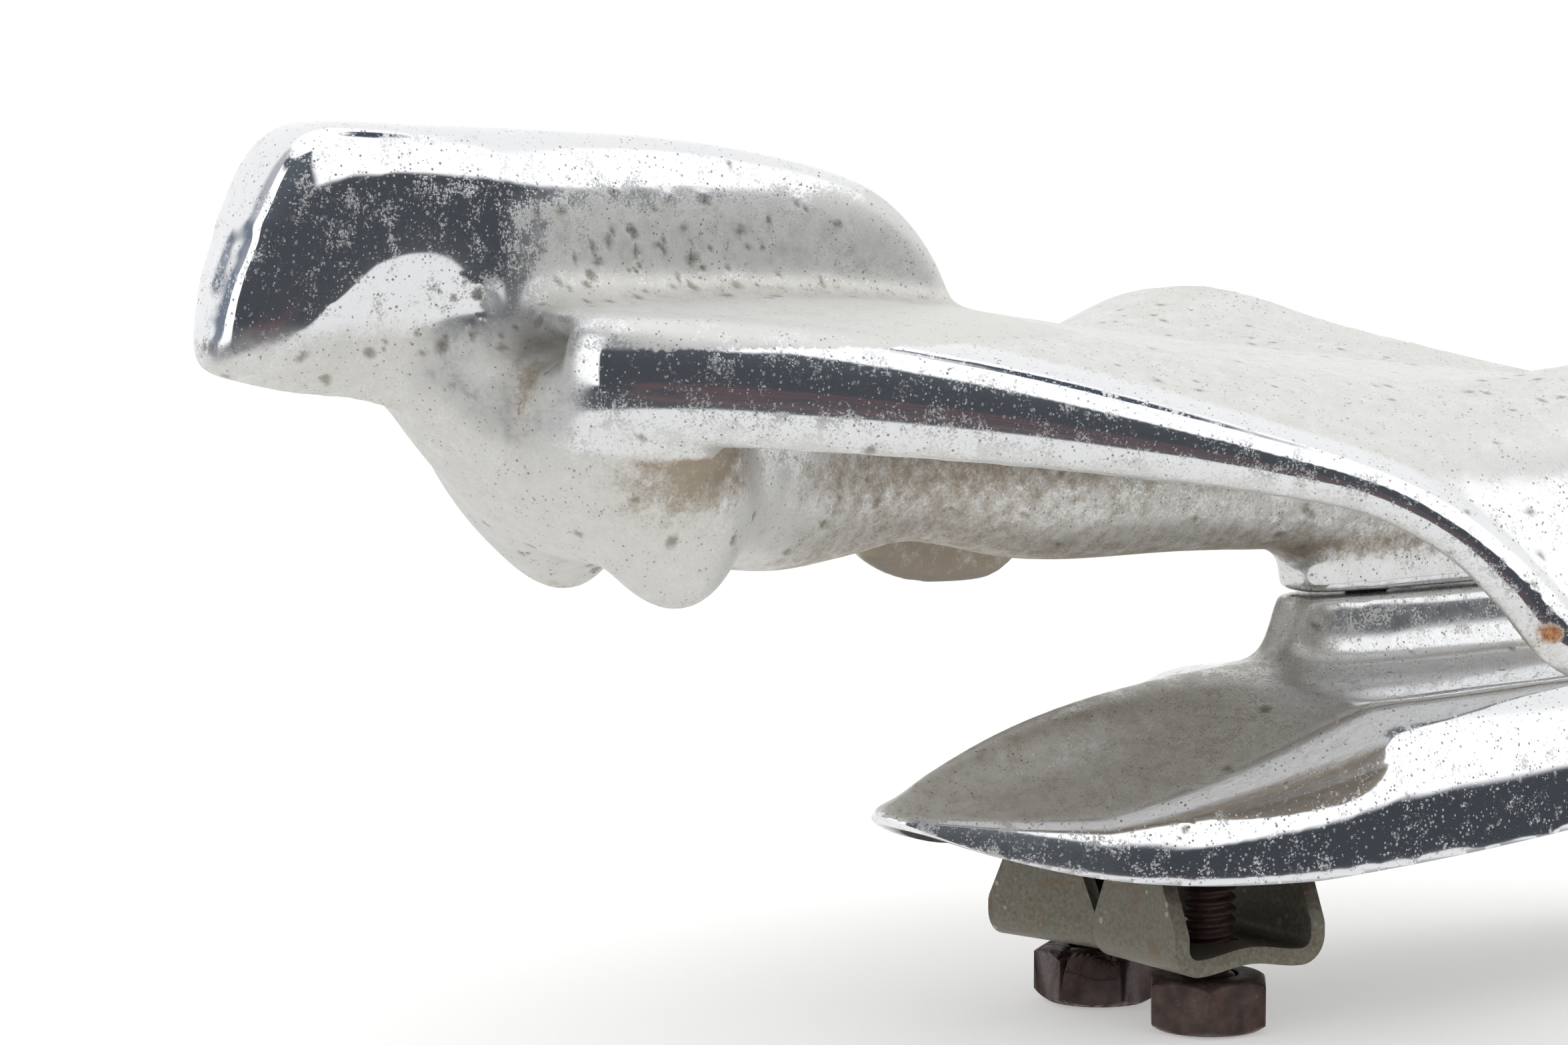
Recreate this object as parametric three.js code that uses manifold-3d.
// A streamlined hood ornament: a chromed winged figure on a hollow boat-shaped base, with three
// mounting stations under it, each a stud, a U clamp and a hex nut.
// Millimetres, +Z up. The figure faces -Y and its left side is +X. Lengths along Y are given from
// the two front studs, and the finished group is moved so that Y = 0 is the middle of its length.
import * as THREE from 'three';
import { mergeVertices } from 'three/addons/utils/BufferGeometryUtils.js';
import Module from 'manifold-3d';

const wasm = await Module();
wasm.setup();

// ---------------------------------------------------------------- driving dimensions
const FIT_GAP = 0.3;              // clearance between pieces that touch
const CHIN_Y = -120;              // foremost point of the figure
const TAIL_Y = 140;               // rearmost point of the figure
const MID_Y = (CHIN_Y + TAIL_Y) / 2;

const SEAM_Z = 46.4;              // joint between the figure's foot and the base's pylon
const PYLON = { front: 19.6, rear: 78, halfWidth: 5.4 };

const BASE = { nose: -38.3, widest: 30, tail: 128, halfWidth: 26, wall: 2.6 };

const STUD = { radius: 3.05, bottom: 0.8, depth: 6 };
const STATIONS = [
  { name: 'front_left', x: 10.2, y: 0, bossZ: 24, roofZ: 29.5, turn: -2, nutTurn: -37.6 },
  { name: 'front_right', x: -10.2, y: 0, bossZ: 24, roofZ: 29.5, turn: 14, nutTurn: -13 },
  { name: 'rear', x: 0, y: 88, bossZ: 27, roofZ: 38.4, turn: 7, nutTurn: 8 },
];
const BOSS_RADIUS = 5.6;
const NUT = { acrossFlats: 12.7, height: 6.2 };
const CLAMP = {
  length: 21.2, width: 15.6, tipWidth: 9.6, thickness: 1.9, bend: 3.2,
  bottom: NUT.height + 1.4, top: 18.8, shoulder: 12.2, bow: 0.8,
};
const SCREWS = [{ name: 'front', y: 31 }, { name: 'rear', y: 65 }];
const SCREW = { radius: 2.4, headRadius: 4.4, headHeight: 3.2, reach: 6.5, slot: 1.2 };
const PAD = { radius: 6.2, bottom: 32.4 };
const WASHER = { inner: 2.75, outer: 4.6, height: 1.2 };

// ---------------------------------------------------------------- materials
const chrome = () => new THREE.MeshStandardMaterial({ color: 0xc9cbcc, metalness: 1, roughness: 0.18 });
const darkSteel = () => new THREE.MeshStandardMaterial({ color: 0x3b3230, metalness: 0.7, roughness: 0.6 });
const zincSteel = () => new THREE.MeshStandardMaterial({ color: 0x7a7768, metalness: 0.8, roughness: 0.5 });

// ---------------------------------------------------------------- small helpers
const rad = THREE.MathUtils.degToRad;

/** A smooth curve through [y, value, value, ...] rows, read at a given y. */
function table(rows) {
  return (y) => {
    const last = rows.length - 1;
    if (y <= rows[0][0]) return rows[0].slice(1);
    if (y >= rows[last][0]) return rows[last].slice(1);
    let i = 0;
    while (rows[i + 1][0] < y) i += 1;
    const span = rows[i + 1][0] - rows[i][0];
    const t = (y - rows[i][0]) / span;
    return rows[i].slice(1).map((a, k) => {
      const c = k + 1;
      const b = rows[i + 1][c];
      const slope = (j) => (rows[Math.min(j + 1, last)][c] - rows[Math.max(j - 1, 0)][c])
        / (rows[Math.min(j + 1, last)][0] - rows[Math.max(j - 1, 0)][0]);
      const h = [2 * t ** 3 - 3 * t ** 2 + 1, t ** 3 - 2 * t ** 2 + t, -2 * t ** 3 + 3 * t ** 2, t ** 3 - t ** 2];
      return h[0] * a + h[1] * span * slope(i) + h[2] * b + h[3] * span * slope(i + 1);
    });
  };
}

/** A closed skin over rings of equal length: side faces between rings and a fan over each end. */
function loft(rings) {
  const n = rings[0].length;
  const positions = rings.flat().flatMap((p) => [p.x, p.y, p.z]);
  const index = [];
  for (let i = 0; i + 1 < rings.length; i += 1) {
    for (let j = 0; j < n; j += 1) {
      const k = (j + 1) % n;
      const [a, b, c, d] = [i * n + j, i * n + k, (i + 1) * n + k, (i + 1) * n + j];
      index.push(a, b, c, a, c, d);
    }
  }
  for (const [ring, start, flip] of [[rings[0], 0, true], [rings.at(-1), (rings.length - 1) * n, false]]) {
    const middle = positions.length / 3;
    const centre = ring.reduce((sum, p) => sum.add(p), new THREE.Vector3()).divideScalar(n);
    positions.push(centre.x, centre.y, centre.z);
    for (let j = 0; j < n; j += 1) {
      const pair = [start + j, start + (j + 1) % n];
      index.push(middle, ...(flip ? pair.reverse() : pair));
    }
  }
  const geometry = new THREE.BufferGeometry();
  geometry.setAttribute('position', new THREE.Float32BufferAttribute(positions, 3));
  geometry.setIndex(index);
  return geometry;
}

/** A closed ring in the plane across Y: a superellipse between two heights. */
function crossRing(y, bottom, top, halfWidth, power, count) {
  const middle = (bottom + top) / 2;
  const half = (top - bottom) / 2;
  return Array.from({ length: count }, (_, i) => {
    const angle = (i / count) * 2 * Math.PI;
    const [c, s] = [Math.cos(angle), Math.sin(angle)];
    return new THREE.Vector3(
      halfWidth * Math.sign(c) * Math.abs(c) ** (2 / power),
      y,
      middle + half * Math.sign(s) * Math.abs(s) ** (2 / power),
    );
  });
}

/** Turns a closed geometry into a solid that can be cut and joined, facing out whichever way it was wound. */
function solid(geometry) {
  const bare = geometry.clone();
  bare.deleteAttribute('normal');
  bare.deleteAttribute('uv');
  const welded = mergeVertices(bare, 1e-4);
  const p = welded.attributes.position;
  const index = Array.from(welded.index.array);
  let volume = 0;
  const [a, b, c] = [new THREE.Vector3(), new THREE.Vector3(), new THREE.Vector3()];
  for (let i = 0; i < index.length; i += 3) {
    a.fromBufferAttribute(p, index[i]);
    b.fromBufferAttribute(p, index[i + 1]);
    c.fromBufferAttribute(p, index[i + 2]);
    volume += a.dot(b.cross(c));
  }
  if (volume < 0) index.reverse();
  return new wasm.Manifold(new wasm.Mesh({
    numProp: 3,
    vertProperties: new Float32Array(p.array),
    triVerts: new Uint32Array(index),
  }));
}

function geometryOf(manifold) {
  const mesh = manifold.getMesh();
  const geometry = new THREE.BufferGeometry();
  geometry.setAttribute('position', new THREE.Float32BufferAttribute(mesh.vertProperties, 3));
  geometry.setIndex(Array.from(mesh.triVerts));
  return geometry;
}

const join = (solids) => solids.reduce((whole, piece) => whole.add(piece));

/** A round bar standing on Z. */
function bar(radius, bottom, top, x = 0, y = 0, segments = 20) {
  return new THREE.CylinderGeometry(radius, radius, top - bottom, segments)
    .rotateX(Math.PI / 2).translate(x, y, (bottom + top) / 2);
}

// ---------------------------------------------------------------- figure casting
// Rows of the wing net run from the spine out to the tip's lower margin, and each row runs from
// the leading edge back to the trailing edge.
const WING_NET = [
  [[0, -86, 83.6], [0, -45, 83.2], [0, -5, 77.6], [0, 48, 71], [0, 112, 62.5]],
  [[18, -84, 83.6], [17, -45, 82.4], [16, -4, 76.4], [15, 40, 71.4], [12, 82, 67]],
  [[35, -50, 79.2], [34, -24, 77.8], [33, 1, 74.8], [32, 28, 73.6], [31, 55, 74.6]],
  [[49, -22, 71], [48, -5, 70.8], [47, 12, 72], [46, 28, 76], [45, 43, 79.4]],
  [[57, -7, 64], [58, 4, 64.6], [58.6, 14, 66.6], [59, 25, 71], [58.5, 36, 76]],
  [[61.6, 1.5, 55], [63, 8, 54.4], [64, 17, 54.2], [64.8, 26, 57], [64.2, 33.5, 63]],
  [[63, 4, 48.6], [64.6, 10.5, 46.6], [65.6, 18, 45.2], [66, 25, 45.6], [65.6, 30, 50]],
];
const WING_SKIN = 2.6;

/** A point of the wing's upper face: across runs -1 to 1 from tip to tip, back runs 0 to 1. */
function wingPoint(across, back) {
  const last = WING_NET.length - 1;
  const rows = WING_NET.map((row) => new THREE.CatmullRomCurve3(
    row.map(([x, y, z]) => new THREE.Vector3(x, y, z)), false, 'centripetal',
  ).getPoint(back));
  const mirrored = rows.slice(1).reverse().map((p) => new THREE.Vector3(-p.x, p.y, p.z));
  const span = new THREE.CatmullRomCurve3([...mirrored, ...rows], false, 'centripetal');
  return span.getPoint((across * last + last) / (2 * last));
}

/** The wings' skin from tip to tip, a sheet with its thickness below the upper face. */
function wingSkin(spanSteps = 32, chordSteps = 10) {
  const grid = [];
  for (let i = 0; i <= spanSteps; i += 1) {
    const across = -1 + (2 * i) / spanSteps;
    grid.push(Array.from({ length: chordSteps + 1 }, (_, j) => wingPoint(across, j / chordSteps)));
  }
  const normalAt = (i, j) => {
    const spanwise = grid[Math.min(i + 1, spanSteps)][j].clone().sub(grid[Math.max(i - 1, 0)][j]);
    const chordwise = grid[i][Math.min(j + 1, chordSteps)].clone().sub(grid[i][Math.max(j - 1, 0)]);
    return spanwise.cross(chordwise).normalize();
  };
  const rings = grid.map((line, i) => {
    const under = line.map((p, j) => p.clone().addScaledVector(normalAt(i, j), -WING_SKIN));
    return [...line, ...under.reverse()];
  });
  return loft(rings);
}

/** The thick rounded bar along a wing's leading edge and round the tip's lower margin. */
function edgeRoll(side) {
  // x, y, z of the bar's middle, then its half height and half depth
  const path = [
    [14, -86, 77, 5.8, 3.2], [19, -82.6, 76.9, 6.6, 3.6], [26, -68.5, 75.8, 6.4, 3.6], [35, -51, 73.4, 5.5, 3.4],
    [42, -37.5, 70.8, 4.5, 3.1], [49, -23.5, 67.6, 3.4, 2.7], [54, -13.5, 64.6, 2.8, 2.4],
    [58, -6, 60, 2.7, 2.3], [60.8, -0.5, 54.4, 2.9, 2.2], [62.8, 4, 49, 3.2, 2.2],
    [64.6, 10.5, 46, 3.4, 2.1], [65.6, 18, 44.8, 3.4, 2], [65.9, 25, 45, 3.1, 2],
    [65.6, 30, 49.4, 2.4, 1.9], [64.3, 33.4, 57.5, 1.8, 1.6],
  ];
  const middle = new THREE.CatmullRomCurve3(
    path.map(([x, y, z]) => new THREE.Vector3(x, y, z)), false, 'centripetal',
  );
  const size = new THREE.CatmullRomCurve3(
    path.map((row) => new THREE.Vector3(row[3], row[4], 0)), false, 'centripetal',
  );
  const steps = 24;
  const around = 10;
  const rings = [];
  for (let i = 0; i <= steps; i += 1) {
    const centre = middle.getPoint(i / steps);
    const along = middle.getTangent(i / steps);
    const half = size.getPoint(i / steps);
    const outward = new THREE.Vector3(along.y, -along.x, 0).normalize();
    const upward = new THREE.Vector3().crossVectors(outward, along).normalize();
    const ease = i === 0 || i === steps ? 0.6 : 1;
    rings.push(Array.from({ length: around }, (_, j) => {
      const angle = (j / around) * 2 * Math.PI;
      return centre.clone()
        .addScaledVector(outward, ease * half.y * Math.cos(angle))
        .addScaledVector(upward, ease * half.x * Math.sin(angle));
    }));
  }
  return loft(rings).scale(side, 1, 1);
}

/** Torso and tail: y, bottom, top and half width of each section. */
function torso() {
  const section = table([
    [-99, 74, 79, 4.6], [-93, 69, 77.5, 7.6], [-87, 62.6, 78.6, 12.6], [-82, 58.6, 82, 16], [-76, 56.2, 83, 18],
    [-66, 55.6, 83, 16.5],
    [-54, 53.9, 82.5, 12], [-44, 54.8, 82, 9.6], [-35, 56, 81, 9.2], [-19, 53, 79, 10.6], [2, 52.6, 76.5, 10.4],
    [25, 51.8, 73.5, 9], [60, 53.5, 70, 7.2], [95, 56, 66.5, 5.2], [122, 57.5, 63.6, 3.4], [TAIL_Y, 58.6, 60.4, 0.9],
  ]);
  const stations = [-99, -96, -93, -90, -87, -84.5, -82, -79, -76, -71, -66, -60, -54, -48, -42, -35, -27, -19, -8,
    2, 14, 25, 42, 60, 78, 95, 109, 122, 132, TAIL_Y];
  return loft(stations.map((y) => crossRing(y, ...section(y), 2.4, 20)));
}

/** One breast, a rounded cone down from under the shoulder: x, y, z, half width and half length. */
function breast(side) {
  const rows = [
    [12.5, -79, 77, 9, 10], [12.2, -76.8, 71, 9.6, 11.4], [11.7, -74.6, 65.5, 9, 11.4], [11.3, -73, 60.5, 7.5, 9.8],
    [11.1, -72, 56.4, 5.3, 7.1], [11, -71.4, 53.4, 3.2, 4.2], [11, -71.2, 51.9, 1.1, 1.4],
  ];
  const count = 14;
  return loft(rows.map(([x, y, z, halfWidth, halfLength]) => Array.from({ length: count }, (_, i) => {
    const angle = (i / count) * 2 * Math.PI;
    return new THREE.Vector3(side * x + halfWidth * Math.cos(angle), y + halfLength * Math.sin(angle), z);
  })));
}

/** The neck, down and back from the head into the chest: y, z, half width and half length. */
function neck() {
  const rows = [[-97, 88, 5.5, 6], [-95, 81, 6.6, 7], [-91.5, 74.5, 8, 7.2], [-86.5, 69, 10.4, 7.5], [-81, 64, 12, 8]];
  const count = 16;
  return loft(rows.map(([y, z, halfWidth, halfLength]) => Array.from({ length: count }, (_, i) => {
    const angle = (i / count) * 2 * Math.PI;
    return new THREE.Vector3(halfWidth * Math.cos(angle), y + halfLength * Math.sin(angle), z);
  })));
}

/** Head and the hair swept back into a tall blade, widest at the jaw line. */
function head() {
  // y, bottom, top, half width, how far it narrows upward, the jaw line's height, and how square the
  // section is below that line and above it
  const section = table([
    [CHIN_Y, 78.4, 80.8, 2.4, 1, 79.6, 3, 4.2], [-118.8, 77.6, 86.4, 4.3, 1, 81, 2.9, 4.2],
    [-116, 76.8, 94.2, 5.7, 0.96, 81.6, 2.5, 4.6], [-112.6, 75.9, 100.2, 6.7, 0.93, 83, 2.1, 5],
    [-109, 75.1, 102.5, 7.3, 0.92, 86, 1.7, 5], [-104, 74.4, 102.7, 7.9, 0.9, 90.5, 1.55, 5.2],
    [-97.5, 73, 102.3, 8.3, 0.87, 92, 1.5, 5.4], [-92, 73, 102.1, 8.2, 0.85, 91, 1.9, 5],
    [-87, 74.4, 101.8, 7.4, 0.86, 89, 2.6, 4.2], [-80, 78, 101.4, 6.2, 0.88, 89.4, 3.2, 3.4],
    [-65, 79, 100.3, 4.9, 0.92, 89.6, 3.2, 3.3], [-50, 79, 97.8, 4.1, 0.94, 88.4, 3.2, 3.2],
    [-40.5, 79, 94.9, 3.7, 0.94, 87, 3.2, 3.2],
    [-35.2, 79, 91.2, 3.4, 0.94, 85, 3.2, 3.2],
    [-31.4, 79, 86.4, 3, 0.94, 82.6, 3.2, 3.2], [-29.2, 79, 81.5, 2.4, 1, 80.2, 3.2, 3.2],
  ]);
  const stations = [CHIN_Y, -118.8, -117.4, -116, -114.3, -112.6, -109, -106.5, -104, -100.5, -97, -92, -87,
    -83.5, -80, -70, -60, -50, -45, -40.5, -37.6, -35.2, -33.2, -31.4, -29.2];
  const count = 20;
  return loft(stations.map((y) => {
    const [bottom, top, halfWidth, topRatio, jaw, below, above] = section(y);
    return Array.from({ length: count }, (_, i) => {
      const angle = (i / count) * 2 * Math.PI;
      const [c, s] = [Math.cos(angle), Math.sin(angle)];
      const [power, reach] = s >= 0 ? [above, top - jaw] : [below, jaw - bottom];
      const narrow = THREE.MathUtils.lerp(1, topRatio, Math.max(s, 0));
      return new THREE.Vector3(
        narrow * halfWidth * Math.sign(c) * Math.abs(c) ** (2 / power),
        y,
        jaw + reach * Math.sign(s) * Math.abs(s) ** (2 / power),
      );
    });
  }));
}

/** A level ring, longer along Y than it is wide, for the foot and the pylon. */
function levelRing(z, front, rear, halfWidth, squareness = 5, count = 28) {
  return Array.from({ length: count }, (_, i) => {
    const angle = (i / count) * 2 * Math.PI;
    const [c, s] = [Math.cos(angle), Math.sin(angle)];
    return new THREE.Vector3(
      halfWidth * Math.sign(c) * Math.abs(c) ** (2 / squareness),
      (front + rear) / 2 + ((rear - front) / 2) * Math.sign(s) * Math.abs(s) ** (3 / squareness),
      z,
    );
  });
}

/** The short foot under the torso, from the seam up. */
function foot() {
  const { front, rear, halfWidth } = PYLON;
  return loft([
    levelRing(SEAM_Z + FIT_GAP, front, rear, halfWidth),
    levelRing(49.5, front, rear, halfWidth),
    levelRing(52, front - 0.8, rear + 2, halfWidth + 0.6),
    levelRing(55, front - 3, rear + 5, halfWidth + 1.2),
  ]);
}

function figureCasting() {
  const parts = [wingSkin(), edgeRoll(1), edgeRoll(-1), torso(), neck(), breast(1), breast(-1), head(), foot()];
  let whole = join(parts.map(solid));
  for (const { y } of SCREWS) {
    whole = whole.subtract(solid(bar(SCREW.radius + FIT_GAP, SEAM_Z - 1, SEAM_Z + SCREW.reach + 1, 0, y)));
  }
  return geometryOf(whole);
}

// ---------------------------------------------------------------- base casting
const ridgeHeight = table([
  [BASE.nose, 26.6], [-35, 28.4], [-30.6, 30.6], [-21.5, 33.9], [-12.3, 36.2], [-2.9, 37.7], [6.6, 38.7],
  [20, 39.5], [60, 40], [90, 40], [112, 39.4], [122, 38.6], [BASE.tail, 37.8],
]);

/** Height of the base's rim, which follows a crowned hood. */
function rimHeight(y) {
  const lowest = 5;
  if (y < lowest) return 18 + 8.2 * ((lowest - y) / (lowest - BASE.nose)) ** 3;
  const back = (y - lowest) / (BASE.tail - lowest);
  return 18 + 9.8 * back + 8.6 * back ** 4;
}

/** Half width of the base at its rim. */
function hullHalfWidth(y, inset = 0) {
  const ahead = y < BASE.widest;
  const end = ahead ? BASE.nose + 1.35 * inset : BASE.tail - 2.5 * inset;
  const t = Math.min(1, (BASE.widest - y) / (BASE.widest - end));
  const power = ahead ? 2 : 2.2;
  return Math.max(0.6, (BASE.halfWidth - inset) * (1 - t ** power) ** (ahead ? 0.65 : 0.8));
}

/** One section of the hull: rim, convex side, crease, concave shoulder and ridge. */
function hullRing(y, inset = 0) {
  const w = hullHalfWidth(y, inset);
  const rim = rimHeight(y) - (inset ? 4 : 0);
  const ridge = ridgeHeight(y)[0] - 1.1 * inset;
  const rise = THREE.MathUtils.clamp(0.64 + 0.0125 * y, 0.42, 0.84);
  const crease = rimHeight(y) + rise * (ridge - rimHeight(y));
  const lean = THREE.MathUtils.clamp(0.85 + 0.015 * y, 0.55, 1);    // the sides stand steeper at the bow
  const side = [
    [w, rim], [w * (1 - 0.016 * lean), rim + 0.25 * (crease - rim)],
    [w * (1 - 0.042 * lean), rim + 0.46 * (crease - rim)], [w * (1 - 0.115 * lean), rim + 0.76 * (crease - rim)],
    [w * (1 - 0.265 * lean), crease], [w * 0.42, crease + 0.38 * (ridge - crease)], [w * 0.12, ridge - 0.7],
  ];
  const left = side.map(([x, z]) => new THREE.Vector3(x, y, z));
  const right = side.map(([x, z]) => new THREE.Vector3(-x, y, z)).reverse();
  return [...left, new THREE.Vector3(0, y, ridge), ...right];
}

const HULL_STATIONS = [-37.6, -35.5, -32.5, -28.5, -24, -19, -13, -6, 2, 12, 24, 38, 54, 70, 85, 98, 108,
  115, 120, 124, 127];

function hull() {
  return loft([BASE.nose, ...HULL_STATIONS, BASE.tail].map((y) => hullRing(y)));
}

function hullInside() {
  const stations = HULL_STATIONS.filter((y) => y > -34 && y < 121);
  return loft(stations.map((y) => hullRing(y, BASE.wall)));
}

/** The pylon sweeps up from the hull to the seam. */
function pylon() {
  const { front, rear, halfWidth } = PYLON;
  return loft([
    levelRing(35, 10, rear + 20, 10.5, 2.4),
    levelRing(37.4, 12, rear + 14, 8.6, 2.7),
    levelRing(39.4, 15, rear + 9, 6.8, 3.3),
    levelRing(41.6, 17.6, rear + 3.5, 5.8, 4.2),
    levelRing(SEAM_Z, front, rear, halfWidth),
  ]);
}

function baseCasting() {
  const bosses = STATIONS.map(({ x, y, bossZ, roofZ }) => solid(bar(BOSS_RADIUS, bossZ, roofZ, x, y, 24)));
  const pads = SCREWS.map(({ y }) => solid(bar(PAD.radius, PAD.bottom, 38, 0, y, 24)));
  let whole = join([solid(hull()), solid(pylon())]).subtract(solid(hullInside()));
  whole = join([whole, ...bosses, ...pads]);
  for (const { x, y, bossZ } of STATIONS) {
    whole = whole.subtract(solid(bar(STUD.radius + FIT_GAP, bossZ - 1, bossZ + STUD.depth + FIT_GAP, x, y)));
  }
  for (const { y } of SCREWS) {
    whole = whole.subtract(solid(bar(SCREW.radius + FIT_GAP, PAD.bottom - 1, SEAM_Z + 1, 0, y)));
  }
  return geometryOf(whole);
}

// ---------------------------------------------------------------- joining screws and washers
/** A slotted pan-head screw, head down, standing on the axis X = Y = 0. */
function joiningScrew() {
  const headTop = PAD.bottom - WASHER.height - 2 * FIT_GAP;
  const headBottom = headTop - SCREW.headHeight;
  const profile = [
    [0, headBottom], [SCREW.headRadius - 1.2, headBottom], [SCREW.headRadius, headBottom + 1.2],
    [SCREW.headRadius, headTop], [SCREW.radius, headTop], [SCREW.radius, SEAM_Z + SCREW.reach - 1],
    [SCREW.radius - 0.7, SEAM_Z + SCREW.reach], [0, SEAM_Z + SCREW.reach],
  ].map(([r, z]) => new THREE.Vector2(r, z));
  const turned = new THREE.LatheGeometry(profile, 18).rotateX(Math.PI / 2);
  const slot = new THREE.BoxGeometry(3 * SCREW.headRadius, SCREW.slot, 1.4 * 2).translate(0, 0, headBottom);
  return geometryOf(solid(turned).subtract(solid(slot)));
}

/** A split lock washer, closed by a narrow gap. */
function lockWasher() {
  const top = PAD.bottom - FIT_GAP;
  const bottom = top - WASHER.height;
  const ring = solid(bar(WASHER.outer, bottom, top)).subtract(solid(bar(WASHER.inner, bottom - 1, top + 1)));
  const split = new THREE.BoxGeometry(4, 0.7, 3).translate(WASHER.outer, 0, (bottom + top) / 2);
  return geometryOf(ring.subtract(solid(split)));
}

// ---------------------------------------------------------------- mounting stations
function stud({ bossZ }) {
  const { radius, bottom, depth } = STUD;
  const top = bossZ + depth;
  const profile = [[0, bottom], [radius - 0.7, bottom], [radius, bottom + 0.7], [radius, top - 0.7],
    [radius - 0.7, top], [0, top]].map(([r, z]) => new THREE.Vector2(r, z));
  return new THREE.LatheGeometry(profile, 20).rotateX(Math.PI / 2);
}

/** A bent steel U with its legs up, a round hole in its bowed web and legs that narrow to the tips. */
function clamp() {
  const { length, width, tipWidth, thickness, bend, bottom, top, shoulder, bow } = CLAMP;
  const outer = length / 2;
  const inner = outer - thickness;
  const innerBend = bend - thickness;
  const profile = new THREE.Shape();
  profile.moveTo(-outer, top);
  profile.lineTo(-outer, bottom + bend);
  profile.absarc(-outer + bend, bottom + bend, bend, Math.PI, 1.5 * Math.PI, false);
  profile.quadraticCurveTo(0, bottom + 2 * bow, outer - bend, bottom);
  profile.absarc(outer - bend, bottom + bend, bend, 1.5 * Math.PI, 2 * Math.PI, false);
  profile.lineTo(outer, top);
  profile.lineTo(inner, top);
  profile.lineTo(inner, bottom + bend);
  profile.absarc(inner - innerBend, bottom + bend, innerBend, 0, -0.5 * Math.PI, true);
  profile.quadraticCurveTo(0, bottom + thickness + 2 * bow, -inner + innerBend, bottom + thickness);
  profile.absarc(-inner + innerBend, bottom + bend, innerBend, -0.5 * Math.PI, -Math.PI, true);
  profile.closePath();
  const sheet = new THREE.ExtrudeGeometry(profile, { depth: width, bevelEnabled: false, curveSegments: 5 })
    .rotateX(Math.PI / 2).translate(0, width / 2, 0).rotateZ(Math.PI / 2);

  const face = new THREE.Shape([
    [-width / 2, bottom - 1], [width / 2, bottom - 1], [width / 2, shoulder], [tipWidth / 2, top + 1],
    [-tipWidth / 2, top + 1], [-width / 2, shoulder],
  ].map(([x, z]) => new THREE.Vector2(x, z)));
  const trim = new THREE.ExtrudeGeometry(face, { depth: 2 * length, bevelEnabled: false })
    .rotateX(Math.PI / 2).translate(0, length, 0);
  const hole = bar(STUD.radius + 0.45, bottom - 2, bottom + 6);
  return geometryOf(solid(sheet).intersect(solid(trim)).subtract(solid(hole)));
}

/** A hex nut with both faces chamfered, a corner on +X. */
function nut() {
  const { acrossFlats, height } = NUT;
  const corner = acrossFlats / Math.sqrt(3);
  const face = acrossFlats / 2;
  const prism = new THREE.CylinderGeometry(corner, corner, height, 6)
    .rotateX(Math.PI / 2).rotateZ(rad(30)).translate(0, 0, height / 2);
  const drop = (corner - face) * Math.tan(rad(30));
  const barrel = [[0, 0], [face, 0], [corner + 0.01, drop], [corner + 0.01, height - drop], [face, height],
    [0, height]].map(([r, z]) => new THREE.Vector2(r, z));
  const turned = new THREE.LatheGeometry(barrel, 36).rotateX(Math.PI / 2);
  const bore = bar(STUD.radius + FIT_GAP, -1, height + 1);
  return geometryOf(solid(prism).intersect(solid(turned)).subtract(solid(bore)));
}

// ---------------------------------------------------------------- assembly
const ornament = new THREE.Group();
ornament.position.y = -MID_Y;

function place(name, geometry, material, x = 0, y = 0, turn = 0) {
  const mesh = new THREE.Mesh(geometry, material);
  mesh.name = name;
  mesh.position.set(x, y, 0);
  mesh.rotation.z = rad(turn);
  ornament.add(mesh);
}

place('figure_casting', figureCasting(), chrome());
place('base_casting', baseCasting(), chrome());
for (const { name, y } of SCREWS) {
  place(`joining_screw_${name}`, joiningScrew(), darkSteel(), 0, y, 30);
  place(`lock_washer_${name}`, lockWasher(), darkSteel(), 0, y, 70);
}
for (const station of STATIONS) {
  const { name, x, y, turn, nutTurn } = station;
  place(`stud_${name}`, stud(station), darkSteel(), x, y);
  place(`clamp_${name}`, clamp(), zincSteel(), x, y, turn);
  place(`nut_${name}`, nut(), darkSteel(), x, y, nutTurn);
}

export default ornament;
